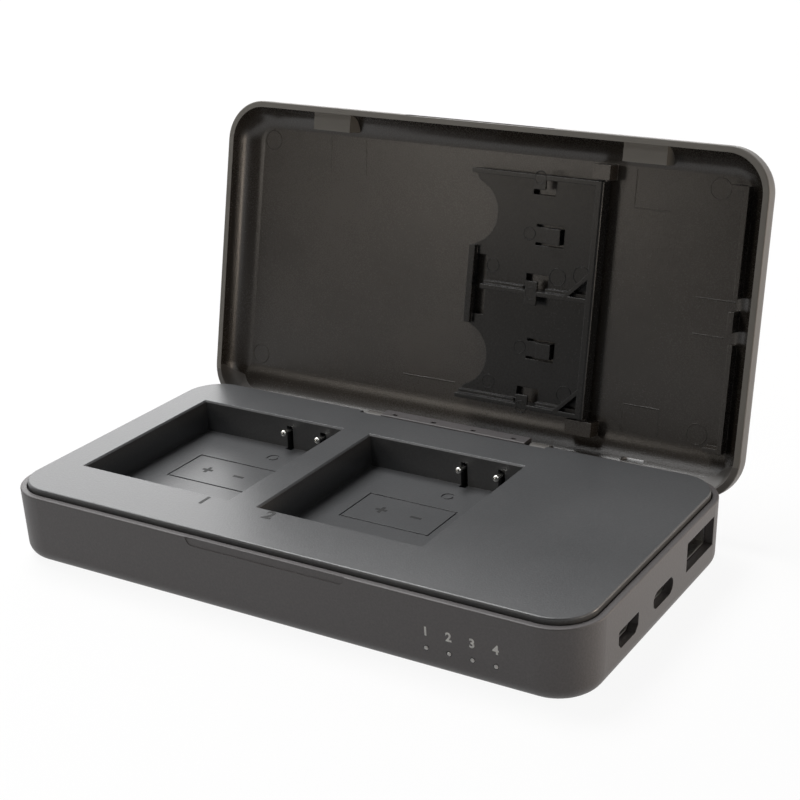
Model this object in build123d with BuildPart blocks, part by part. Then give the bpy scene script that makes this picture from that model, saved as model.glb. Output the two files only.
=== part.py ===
"""Two-bay camera battery charger with a hinged lid and a swing-out memory card holder."""
import os
from math import atan, cos, degrees, radians, sin

from build123d import *

os.makedirs("parts", exist_ok=True)

# Housing and lid, outside
case_length = 134.2
case_depth = 70.2
corner_radius = 9.6
rim_height = 15.4
rim_edge_radius = 0.3

# Bottom housing
case_wall = 2.2
case_lean = 0.6
bottom_edge_radius = 3.3
thumb_width = 37.0
thumb_depth = 0.2
thumb_height = 1.7
thumb_round = 1.5

# Deck
deck_margin = 1.6
deck_raise = 1.2
deck_gap = 0.3
deck_ledge = 1.4
deck_edge_radius = 0.4

# Battery bays
bay_width = 38.0
bay_length = 41.4
bay_depth = 7.4
bay_wall = 1.4
bay_floor_wall = 1.4
bay_side_margin = 7.9
bay_gap = 7.4
bay_shift = 1.2
bay_edge_chamfer = 0.35
label_width = 21.6
label_height = 12.4
label_right = 30.4
label_front = 16.8
label_line = 0.4
label_sink = 0.2
mark_right = 16.15
mark_rear = 6.35
mark_radius = 1.45

# Battery contacts
contact_first = 23.7
contact_pitch = 9.1
contact_width = 1.0
contact_strip = 0.4
contact_height = 4.5
contact_nose_radius = 0.75
contact_reach = 3.05
contact_foot = 2.6
contact_stand_off = 0.9
slot_width = 1.65
slot_top = 0.9
slot_floor_reach = 1.1

# Circuit board and what stands on it
board_end_gap = 2.9
board_side_gap = 3.4
board_thickness = 1.6
board_corner = 3.0
board_height = 4.0
controller_size = 6.0
controller_height = 1.0
inductor_size = 8.0
inductor_height = 4.2
capacitor_radius = 3.15
capacitor_height = 5.8
capacitor_base = 6.6
capacitor_base_height = 0.8
power_gap = 3.0
capacitor_gap = 2.0

# Screws and the posts that they hold
screw_radius = 0.8
screw_fit = 0.05
screw_head_radius = 1.9
screw_head_height = 1.4
screw_grip = 6.5
screw_hole_clearance = 0.35
screw_sink = 2.2
screw_sink_clearance = 0.3
screw_cross_length = 2.4
screw_cross_width = 0.5
screw_cross_depth = 0.8
boss_radius = 2.9
post_radius = 2.6
post_bay_gap = 0.85

# Status lamps in the front wall
lamp_inset = 17.2
lamp_pitch = 4.8
lamp_height = 5.15
lamp_count = 4
pipe_radius = 0.55
pipe_fit = 0.03
pipe_flange_radius = 0.9
pipe_flange = 0.6
pipe_led_gap = 0.3
led_length = 1.6
led_depth = 1.0
led_height = 0.7

# Sockets in the right wall
socket_recess = 0.7
socket_pad_front = -22.2
socket_pad_rear = 27.0
socket_pad_top = 13.5
socket_reach = 1.1
socket_sheet = 0.3
usb_a_y = 18.3
usb_a_height = 9.45
usb_a_width = 13.1
usb_a_tall = 5.7
usb_a_length = 13.5
usb_a_frame = 0.3
usb_a_tongue_width = 11.1
usb_a_tongue_tall = 1.9
usb_a_tongue_set = 1.2
usb_c_y = 0.3
usb_c_width = 8.94
usb_c_tall = 3.26
usb_c_length = 7.3
usb_c_frame = 0.2
usb_c_tongue_width = 6.7
usb_c_tongue_tall = 0.7
usb_c_tongue_set = 1.0
mini_y = -15.5
mini_width = 7.6
mini_tall = 2.9
mini_length = 5.6
mini_frame = 0.5
mini_corner = 1.2
mini_round = 0.4
mini_tongue_width = 4.0
mini_tongue_tall = 0.7
mini_tongue_set = 0.9

# Lid and its hinge
open_angle = 102.0
lid_depth = 7.8
lid_wall = 1.4
lid_floor = 1.8
lid_back_radius = 5.2
lid_inner_radius = 5.0
lid_hinge_sweep = 8.5
lid_overhang = 3.1
lid_rim_gap = 0.2
hinge_out = -0.1
hinge_lift = -2.1
hinge_shift = 2.1
knuckle_radius = 2.6
knuckle_gap = 0.3
knuckle_web = 5.0
barrel_length = 36.6
ear_length = 4.6
strip_front = 2.4
strip_rear = 1.0
strip_raise = 0.1
strip_edge = 0.3
pit_count = 4
pit_pitch = 10.1
pit_length = 1.2
pit_width = 0.7
pit_sink = 0.5
pin_radius = 0.8
pin_fit = 0.05
pin_cap = 0.8
latch_inset = 28.1
latch_width = 9.9
latch_height = 4.0
latch_front = 1.4
vent_inset = 25.4
vent_width = 5.2
vent_height = 0.8
vent_low = 0.9

# Card holder and what holds it in the lid
card_width = 24.0
card_clearance = 0.2
holder_rail = 1.0
holder_plate = 1.2
holder_thickness = 4.0
holder_reach = 30.8
holder_edge = 1.0
holder_low = 8.55
holder_floor_gap = 0.4
holder_edge_wall = 1.8
holder_edge_round = 0.6
pivot_inset = 37.8
pivot_radius = 1.2
pivot_length = 1.8
pivot_fit = 0.08
pivot_end_gap = 0.4
post_length = 3.2
top_post_width = 4.0
low_post_width = 6.2
post_front = 1.9
scoop_radius = 7.3
scoop_out = 1.5
scoop_v = 16.0
scoop_blend = 2.0
catch_bar = 1.4
catch_bar_height = 2.6
catch_notch_width = 2.8
catch_notch_length = 13.4
tab_u = -14.0
tab_width = 2.8
tab_reach = 2.6
tab_thickness = 0.6
tab_hole_width = 5.4
tab_hole_reach = 3.4
step_width = 0.7
step_height = 1.2
finger_root_u = -15.2
finger_length = 6.2
finger_width = 3.4
finger_slot = 0.6
finger_pad_length = 3.4
finger_pad_height = 1.1
corner_stop = 4.2
corner_stop_wall = 0.8
rail_gap = 0.6
rail_width = 1.0
rail_height = 3.0
rail_end_gap = 2.2
rail_top_leg = 3.0
rail_low_leg = 3.2
hook_opening = 9.6
hook_length = 4.4
hook_width = 0.9
hook_height = 3.9
hook_nose = 0.3
hook_nose_height = 0.9

# Levels and outlines that follow from the values above
lean_angle = degrees(atan(case_lean / rim_height))
deck_top = rim_height + deck_raise
deck_bottom = rim_height - deck_ledge
deck_length = case_length - 2 * deck_margin
deck_depth = case_depth - 2 * deck_margin
deck_radius = corner_radius - deck_margin
bay_floor = deck_top - bay_depth
bay_first_x = bay_side_margin - deck_length / 2 + bay_width / 2
bay_xs = [bay_first_x, bay_first_x + bay_width + bay_gap]
bays_right = bay_xs[-1] + bay_width / 2 + bay_wall
bay_rear = bay_shift + bay_length / 2
bay_front = bay_shift - bay_length / 2
board_length = case_length - 2 * case_wall - 2 * board_end_gap
board_depth = case_depth - 2 * case_wall - 2 * board_side_gap
board_top = board_height + board_thickness
screw_xs = [bay_first_x, bays_right + post_bay_gap + post_radius]
screw_ys = [bay_front - post_bay_gap - post_radius, bay_rear + post_bay_gap + post_radius]
screw_spots = [(x, y) for x in screw_xs for y in screw_ys]
lamp_xs = [case_length / 2 - lamp_inset - i * lamp_pitch for i in reversed(range(lamp_count))]
channel_ys = [(mini_y + mini_width / 2 + usb_c_y - usb_c_width / 2) / 2,
              (usb_c_y + usb_c_width / 2 + usb_a_y - usb_a_width / 2) / 2]
power_x = bays_right + power_gap + inductor_size / 2
capacitor_x = power_x + inductor_size / 2 + capacitor_gap + capacitor_base / 2
latch_x = case_length / 2 - latch_inset
vent_x = case_length / 2 - vent_inset
pivot_x = case_length / 2 - pivot_inset
hinge_y = case_depth / 2 + hinge_out
hinge_z = rim_height + hinge_lift
strip_top = deck_top + strip_raise
strip_height = strip_top - hinge_z
hinge_plane = Plane(origin=(hinge_shift, hinge_y, hinge_z), x_dir=(0, 1, 0), z_dir=(1, 0, 0))


def wall_lean(height):
    """How far the outer wall has come in at a height above the underside."""
    return case_lean * (rim_height - height) / rim_height


# Bottom housing: a drafted tray with a rolled bottom edge, open at the top
socket_front = case_length / 2 - case_wall - wall_lean(bay_floor) - socket_recess
usb_c_height = board_top + usb_c_tall / 2
mini_height = board_top + mini_tall / 2


def mini_profile(grow):
    """Trapezium of the small input socket: square above, with its two lower corners cut off."""
    half, tall = mini_width / 2 + grow, mini_tall / 2 + grow
    cut = mini_corner
    points = [(-half, tall), (half, tall), (half, cut - tall), (half - cut, -tall),
              (cut - half, -tall), (-half, cut - tall)]
    with BuildSketch() as outline:
        with BuildLine():
            Polyline(*points, close=True)
        make_face()
        fillet(outline.vertices(), mini_round)
    return outline.sketch


with BuildPart() as bottom_housing:
    with BuildSketch(Plane.XY.offset(rim_height)):
        RectangleRounded(case_length, case_depth, corner_radius)
    extrude(amount=rim_height, dir=(0, 0, -1), taper=lean_angle)
    fillet(bottom_housing.edges().group_by(Axis.Z)[0], bottom_edge_radius)
    fillet(bottom_housing.edges().group_by(Axis.Z)[-1], rim_edge_radius)

    # the thumb hollow at the front of the rim
    with BuildSketch(Plane.XZ.offset(case_depth / 2)):
        with Locations((0, rim_height)):
            RectangleRounded(thumb_width, 2 * thumb_height, thumb_round)
    extrude(amount=-thumb_depth, mode=Mode.SUBTRACT)

    # the hollow inside, and the ledge that the deck lies on
    with BuildSketch(Plane.XY.offset(rim_height)):
        RectangleRounded(case_length - 2 * case_wall, case_depth - 2 * case_wall, corner_radius - case_wall)
    extrude(amount=rim_height - case_wall, dir=(0, 0, -1), taper=lean_angle, mode=Mode.SUBTRACT)
    fillet(bottom_housing.edges().filter_by(
        lambda e: abs(e.center().Z - case_wall) < 1e-3 and e.bounding_box().size.Z < 1e-3),
        bottom_edge_radius - case_wall)
    with BuildSketch(Plane.XY.offset(rim_height)):
        RectangleRounded(deck_length + 2 * deck_gap, deck_depth + 2 * deck_gap, deck_radius + deck_gap)
    extrude(amount=-deck_ledge, mode=Mode.SUBTRACT)

    # thicker wall round the sockets, with their cut-outs
    with BuildSketch(Plane.YZ.offset(socket_front)):
        with Locations(((socket_pad_front + socket_pad_rear) / 2, (case_wall + socket_pad_top) / 2)):
            Rectangle(socket_pad_rear - socket_pad_front, socket_pad_top - case_wall)
    extrude(amount=socket_recess + case_wall / 2)
    with BuildSketch(Plane.YZ.offset(socket_front)):
        with Locations((usb_a_y, usb_a_height)):
            Rectangle(usb_a_width + 2 * usb_a_frame, usb_a_tall + 2 * usb_a_frame)
        with Locations((usb_c_y, usb_c_height)):
            SlotOverall(usb_c_width + 2 * usb_c_frame, usb_c_tall + 2 * usb_c_frame)
        with Locations((mini_y, mini_height)):
            add(mini_profile(mini_frame))
    extrude(amount=case_length / 2 - socket_front + 1, mode=Mode.SUBTRACT)

    # the lamp holes
    with BuildSketch(Plane.XZ.offset(case_depth / 2)):
        with Locations([(x, lamp_height) for x in lamp_xs]):
            Circle(pipe_radius + pipe_fit)
    extrude(amount=-2 * case_wall, mode=Mode.SUBTRACT)

    # bosses under the board, each with a sunk hole for its screw
    with BuildSketch(Plane.XY.offset(case_wall)):
        with Locations(screw_spots):
            Circle(boss_radius)
    extrude(amount=board_height - case_wall)
    with BuildSketch(Plane.XY):
        with Locations(screw_spots):
            Circle(screw_radius + screw_hole_clearance)
    extrude(amount=board_height, mode=Mode.SUBTRACT)
    with BuildSketch(Plane.XY):
        with Locations(screw_spots):
            Circle(screw_head_radius + screw_sink_clearance)
    extrude(amount=screw_sink, mode=Mode.SUBTRACT)

    # the long hinge barrel in the rear wall with a flat strip on it, and room beside it for the lid's ears
    with BuildSketch(hinge_plane):
        Circle(knuckle_radius)
        with BuildLine():
            Polyline((knuckle_radius * cos(radians(45)), -knuckle_radius * sin(radians(45))),
                     (-hinge_out - wall_lean(hinge_z - knuckle_web) - rim_edge_radius, -knuckle_web),
                     (knuckle_gap - hinge_out - case_wall, -knuckle_web),
                     (knuckle_gap - hinge_out - case_wall, 0), (0, 0), close=True)
        make_face()
        with Locations(((strip_rear - strip_front) / 2, strip_height / 2)):
            RectangleRounded(strip_front + strip_rear, strip_height, strip_edge)
    extrude(amount=barrel_length / 2, both=True)
    with BuildSketch(Plane.XY.offset(strip_top)):
        with Locations((hinge_shift, hinge_y - strip_front / 2)):
            with GridLocations(pit_pitch, 0, pit_count, 1):
                Rectangle(pit_length, pit_width)
    extrude(amount=-pit_sink, mode=Mode.SUBTRACT)
    for side in (1, -1):
        with BuildSketch(hinge_plane.offset(side * barrel_length / 2)):
            Circle(knuckle_radius + knuckle_gap)
        extrude(amount=side * (ear_length + 2 * knuckle_gap), mode=Mode.SUBTRACT)
    with BuildSketch(hinge_plane):
        Circle(pin_radius + pin_fit)
    extrude(amount=barrel_length / 2, both=True, mode=Mode.SUBTRACT)
bottom_housing.part.label = "bottom_housing"
export_step(bottom_housing.part, "parts/bottom_housing.step")

# Deck: a slab on the housing's ledge, with the two bays hung under it and four screw posts
hinge_clear = hinge_y - knuckle_radius - knuckle_gap
with BuildPart() as deck:
    with BuildSketch(Plane.XY.offset(deck_bottom)):
        RectangleRounded(deck_length, deck_depth, deck_radius)
    extrude(amount=deck_top - deck_bottom)
    fillet(deck.edges().group_by(Axis.Z)[-1], deck_edge_radius)
    with BuildSketch(Plane.XY.offset(bay_floor - bay_floor_wall)):
        with Locations([(x, bay_shift) for x in bay_xs]):
            Rectangle(bay_width + 2 * bay_wall, bay_length + 2 * bay_wall)
    extrude(amount=deck_bottom - bay_floor + bay_floor_wall)
    with BuildSketch(Plane.XY.offset(bay_floor)):
        with Locations([(x, bay_shift) for x in bay_xs]):
            Rectangle(bay_width, bay_length)
    extrude(amount=bay_depth, mode=Mode.SUBTRACT)
    rims = deck.faces().sort_by(Axis.Z)[-1].inner_wires().edges()
    chamfer(rims, bay_edge_chamfer)

    # slots that the contacts reach through, open at the foot of the bay's rear wall
    with BuildSketch(Plane.XY.offset(bay_floor - bay_floor_wall)):
        for x in bay_xs:
            for i in range(2):
                slot_x = x - bay_width / 2 + contact_first + i * contact_pitch
                with Locations((slot_x, bay_rear + (bay_wall - slot_floor_reach) / 2)):
                    Rectangle(slot_width, bay_wall + slot_floor_reach)
    extrude(amount=contact_height + slot_top + bay_floor_wall, mode=Mode.SUBTRACT)

    # the sunk outline and the round mark on each bay's floor
    with BuildSketch(Plane.XY.offset(bay_floor)):
        for x in bay_xs:
            bay_right = x + bay_width / 2
            label_x = bay_right - label_right + label_width / 2
            with Locations((label_x, bay_front + label_front + label_height / 2)):
                Rectangle(label_width, label_height)
                Rectangle(label_width - 2 * label_line, label_height - 2 * label_line, mode=Mode.SUBTRACT)
            with Locations((bay_right - mark_right + mark_radius, bay_rear - mark_rear)):
                Circle(mark_radius)
                Circle(mark_radius - label_line, mode=Mode.SUBTRACT)
    extrude(amount=-label_sink, mode=Mode.SUBTRACT)

    # room for the hinge barrel at the rear edge
    with BuildSketch(Plane.XY.offset(deck_bottom)):
        with Locations((hinge_shift, (hinge_clear + case_depth / 2) / 2)):
            Rectangle(barrel_length + 2 * (ear_length + 2 * knuckle_gap), case_depth / 2 - hinge_clear)
    extrude(amount=deck_top - deck_bottom, mode=Mode.SUBTRACT)

    # posts that stand on the board and take the screws
    with BuildSketch(Plane.XY.offset(board_top)):
        with Locations(screw_spots):
            Circle(post_radius)
            Circle(screw_radius + screw_fit, mode=Mode.SUBTRACT)
    extrude(amount=deck_bottom - board_top)
deck.part.label = "deck"
export_step(deck.part, "parts/deck.step")

# Circuit board: lies on the bosses, under the deck's posts
with BuildPart() as main_board:
    with BuildSketch(Plane.XY.offset(board_height)):
        RectangleRounded(board_length, board_depth, board_corner)
        with Locations(screw_spots):
            Circle(screw_radius + screw_hole_clearance, mode=Mode.SUBTRACT)
    extrude(amount=board_thickness)
main_board.part.label = "main_board"
export_step(main_board.part, "parts/main_board.step")

# One charge controller under each bay, one inductor and one capacitor for each channel
for i, x in enumerate(bay_xs, start=1):
    with BuildPart() as controller:
        with BuildSketch(Plane.XY.offset(board_top)):
            with Locations((x, bay_shift)):
                Rectangle(controller_size, controller_size)
        extrude(amount=controller_height)
    controller.part.label = f"charge_controller_{i}"
    export_step(controller.part, f"parts/charge_controller_{i}.step")

    channel_y = channel_ys[i - 1]
    with BuildPart() as inductor:
        with BuildSketch(Plane.XY.offset(board_top)):
            with Locations((power_x, channel_y)):
                RectangleRounded(inductor_size, inductor_size, inductor_size / 5)
        extrude(amount=inductor_height)
        chamfer(inductor.edges().group_by(Axis.Z)[-1], inductor_height / 8)
    inductor.part.label = f"inductor_{i}"
    export_step(inductor.part, f"parts/inductor_{i}.step")

    with BuildPart() as capacitor:
        with BuildSketch(Plane.XY.offset(board_top)):
            with Locations((capacitor_x, channel_y)):
                Rectangle(capacitor_base, capacitor_base)
        extrude(amount=capacitor_base_height)
        with BuildSketch(Plane.XY.offset(board_top)):
            with Locations((capacitor_x, channel_y)):
                Circle(capacitor_radius)
        extrude(amount=capacitor_height)
        fillet(capacitor.edges().group_by(Axis.Z)[-1], capacitor_base_height / 2)
    capacitor.part.label = f"capacitor_{i}"
    export_step(capacitor.part, f"parts/capacitor_{i}.step")

# Battery contacts: bent strips behind the bay's rear wall, each with a rounded nose in its slot
strip_y = bay_rear + bay_wall + contact_stand_off
nose_y = bay_rear - contact_reach + contact_nose_radius
nose_z = bay_floor + contact_height
strip_foot_z = board_top + contact_strip / 2
for bay, x in enumerate(bay_xs, start=1):
    for i in range(2):
        contact_x = x - bay_width / 2 + contact_first + i * contact_pitch
        with BuildPart() as contact:
            with BuildSketch(Plane.YZ.offset(contact_x)):
                with BuildLine():
                    FilletPolyline((strip_y + contact_foot, strip_foot_z), (strip_y, strip_foot_z),
                                   (strip_y, nose_z), (nose_y, nose_z), radius=contact_strip)
                trace(line_width=contact_strip)
            extrude(amount=contact_width / 2, both=True)
            with Locations((contact_x, nose_y, nose_z)):
                Sphere(contact_nose_radius)
        contact.part.label = f"contact_{bay}_{i + 1}"
        export_step(contact.part, f"parts/contact_{bay}_{i + 1}.step")

# Status lamps: a clear pipe through the front wall and a chip behind it on the board's front edge
board_front = -board_depth / 2
pipe_front = -case_depth / 2 + wall_lean(lamp_height)
pipe_rear = board_front - led_depth - pipe_led_gap
for i, x in enumerate(lamp_xs, start=1):
    with BuildPart() as light_pipe:
        with BuildSketch(Plane.XZ.offset(-pipe_front)):
            with Locations((x, lamp_height)):
                Circle(pipe_radius)
        extrude(amount=pipe_front - pipe_rear)
        with BuildSketch(Plane.XZ.offset(-pipe_front - case_wall - pipe_fit * 2)):
            with Locations((x, lamp_height)):
                Circle(pipe_flange_radius)
        extrude(amount=-pipe_flange)
    light_pipe.part.label = f"light_pipe_{i}"
    export_step(light_pipe.part, f"parts/light_pipe_{i}.step")

    with BuildPart() as status_led:
        with BuildSketch(Plane.XZ.offset(-board_front)):
            with Locations((x, lamp_height)):
                Rectangle(led_length, led_height)
        extrude(amount=led_depth)
    status_led.part.label = f"status_led_{i}"
    export_step(status_led.part, f"parts/status_led_{i}.step")

# Sockets: folded metal shells that reach into the wall's cut-outs, each with a plastic tongue
shell_front = socket_front + socket_reach
with BuildPart() as usb_a_shell:
    with BuildSketch(Plane.YZ.offset(shell_front)):
        with Locations((usb_a_y, usb_a_height)):
            RectangleRounded(usb_a_width, usb_a_tall, 2 * socket_sheet)
    extrude(amount=-usb_a_length)
    with BuildSketch(Plane.YZ.offset(shell_front)):
        with Locations((usb_a_y, usb_a_height)):
            Rectangle(usb_a_width - 2 * socket_sheet, usb_a_tall - 2 * socket_sheet)
    extrude(amount=socket_sheet - usb_a_length, mode=Mode.SUBTRACT)
    usb_a_leg = usb_a_height - usb_a_tall / 2 - board_top
    with BuildSketch(Plane.XY.offset(board_top)):
        with Locations((shell_front - usb_a_length / 2, usb_a_y)):
            with GridLocations(usb_a_length - 6 * usb_a_leg, usb_a_width - 3 * socket_sheet, 2, 2):
                Rectangle(2 * usb_a_leg, socket_sheet)
    extrude(amount=usb_a_leg + socket_sheet / 2)
usb_a_shell.part.label = "usb_a_shell"
export_step(usb_a_shell.part, "parts/usb_a_shell.step")

with BuildPart() as usb_a_tongue:
    with BuildSketch(Plane.YZ.offset(shell_front - usb_a_length + socket_sheet)):
        with Locations((usb_a_y, usb_a_height + usb_a_tall / 2 - socket_sheet - usb_a_tongue_tall)):
            Rectangle(usb_a_tongue_width, usb_a_tongue_tall)
    extrude(amount=usb_a_length - socket_sheet - usb_a_tongue_set)
usb_a_tongue.part.label = "usb_a_tongue"
export_step(usb_a_tongue.part, "parts/usb_a_tongue.step")

with BuildPart() as usb_c_shell:
    with BuildSketch(Plane.YZ.offset(shell_front)):
        with Locations((usb_c_y, usb_c_height)):
            SlotOverall(usb_c_width, usb_c_tall)
    extrude(amount=-usb_c_length)
    with BuildSketch(Plane.YZ.offset(shell_front)):
        with Locations((usb_c_y, usb_c_height)):
            SlotOverall(usb_c_width - 2 * socket_sheet, usb_c_tall - 2 * socket_sheet)
    extrude(amount=socket_sheet - usb_c_length, mode=Mode.SUBTRACT)
usb_c_shell.part.label = "usb_c_shell"
export_step(usb_c_shell.part, "parts/usb_c_shell.step")

with BuildPart() as usb_c_tongue:
    with BuildSketch(Plane.YZ.offset(shell_front - usb_c_length + socket_sheet)):
        with Locations((usb_c_y, usb_c_height)):
            Rectangle(usb_c_tongue_width, usb_c_tongue_tall)
    extrude(amount=usb_c_length - socket_sheet - usb_c_tongue_set)
usb_c_tongue.part.label = "usb_c_tongue"
export_step(usb_c_tongue.part, "parts/usb_c_tongue.step")

with BuildPart() as mini_shell:
    with BuildSketch(Plane.YZ.offset(shell_front)):
        with Locations((mini_y, mini_height)):
            add(mini_profile(0))
    extrude(amount=-mini_length)
    with BuildSketch(Plane.YZ.offset(shell_front)):
        with Locations((mini_y, mini_height)):
            add(mini_profile(-socket_sheet))
    extrude(amount=socket_sheet - mini_length, mode=Mode.SUBTRACT)
mini_shell.part.label = "mini_usb_shell"
export_step(mini_shell.part, "parts/mini_usb_shell.step")

with BuildPart() as mini_tongue:
    with BuildSketch(Plane.YZ.offset(shell_front - mini_length + socket_sheet)):
        with Locations((mini_y, mini_height + mini_tongue_tall / 2)):
            Rectangle(mini_tongue_width, mini_tongue_tall)
    extrude(amount=mini_length - socket_sheet - mini_tongue_set)
mini_tongue.part.label = "mini_usb_tongue"
export_step(mini_tongue.part, "parts/mini_usb_tongue.step")

# Four screws from the underside, through the housing and the board into the deck's posts
with BuildPart() as housing_screws:
    with BuildSketch(Plane.XY.offset(screw_sink)):
        with Locations(screw_spots):
            Circle(screw_head_radius)
    extrude(amount=-screw_head_height)
    with BuildSketch(Plane.XY.offset(screw_sink)):
        with Locations(screw_spots):
            Circle(screw_radius)
    extrude(amount=board_top - screw_sink + screw_grip)
    with BuildSketch(Plane.XY.offset(screw_sink - screw_head_height)):
        with Locations(screw_spots):
            Rectangle(screw_cross_length, screw_cross_width)
            Rectangle(screw_cross_width, screw_cross_length)
    extrude(amount=screw_cross_depth, mode=Mode.SUBTRACT)
housing_screws.part.label = "housing_screws"
export_step(housing_screws.part, "parts/housing_screws.step")

# Hinge pin: through the barrel into the lid's two ears
pin_length = barrel_length + 2 * (knuckle_gap + ear_length - pin_cap - pin_fit)
with BuildPart() as hinge_pin:
    with BuildSketch(hinge_plane):
        Circle(pin_radius)
    extrude(amount=pin_length / 2, both=True)
hinge_pin.part.label = "hinge_pin"
export_step(hinge_pin.part, "parts/hinge_pin.step")

# The lid's own plane: on the hinge axis, Y towards the free edge, Z out of the open side
swing = radians(open_angle)
lid_plane = Plane(origin=(0, hinge_y, hinge_z), x_dir=(1, 0, 0), z_dir=(0, -sin(swing), -cos(swing)))
lid_rim = hinge_lift - lid_rim_gap
lid_inside = lid_rim - lid_depth + lid_floor
lid_length = case_depth + lid_overhang
lid_free = hinge_out + case_depth
lid_root = lid_free - lid_length
lid_middle = (lid_free + lid_root) / 2
side_plane = Plane(origin=lid_plane.origin, x_dir=lid_plane.y_dir, z_dir=lid_plane.x_dir)

# The card holder's plane: on its back, X from its pivot, Y along the pivot from the holder's middle
holder_height = 2 * (card_width + card_clearance) + 3 * holder_rail
holder_back = lid_inside + holder_floor_gap
holder_middle = holder_low + holder_height / 2
pivot_level = holder_back + holder_thickness / 2
holder_plane = Plane(origin=lid_plane.from_local_coords(Vector(pivot_x, holder_middle, holder_back)),
                     x_dir=lid_plane.x_dir, z_dir=lid_plane.z_dir)


def pivot_plane(height):
    """Plane across the card holder's pivot, at a height above the holder's middle."""
    centre = lid_plane.from_local_coords(Vector(pivot_x, holder_middle + height, pivot_level))
    return Plane(origin=centre, x_dir=lid_plane.x_dir, z_dir=lid_plane.y_dir)


def upright(plane, x_range, y_range, height, mode=Mode.ADD):
    """Raise a rectangle from a plane, inside the part that is being built."""
    with BuildSketch(plane) as foot:
        with Locations((sum(x_range) / 2, sum(y_range) / 2)):
            Rectangle(x_range[1] - x_range[0], y_range[1] - y_range[0])
    extrude(foot.sketch, amount=height, mode=mode)


lid_depth_axis = Axis(lid_plane.origin, lid_plane.z_dir)
with BuildPart() as lid_form:
    with BuildSketch(lid_plane.offset(lid_rim)):
        with Locations((0, lid_middle)):
            RectangleRounded(case_length, lid_length, corner_radius)
    extrude(amount=-lid_depth)
    fillet(lid_form.edges().group_by(lid_depth_axis)[0], lid_back_radius)
    fillet(lid_form.edges().group_by(lid_depth_axis)[-1], rim_edge_radius)

with BuildPart() as lid_hollow:
    with BuildSketch(lid_plane.offset(lid_inside)):
        with Locations((0, lid_middle)):
            RectangleRounded(case_length - 2 * lid_wall, lid_length - 2 * lid_wall, corner_radius - lid_wall)
    extrude(amount=lid_rim - lid_inside)
    fillet(lid_hollow.edges().group_by(lid_depth_axis)[0], lid_inner_radius)
    sweep_start = (lid_root + lid_wall, lid_rim)
    sweep_end = (lid_root + lid_wall + lid_hinge_sweep, lid_inside)
    with BuildSketch(side_plane):
        with BuildLine():
            TangentArc(sweep_end, sweep_start, tangent=(-1, 0))
            Polyline(sweep_start, (lid_free, lid_rim), (lid_free, lid_inside), sweep_end)
        make_face()
    extrude(amount=case_length / 2, both=True, mode=Mode.INTERSECT)

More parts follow.
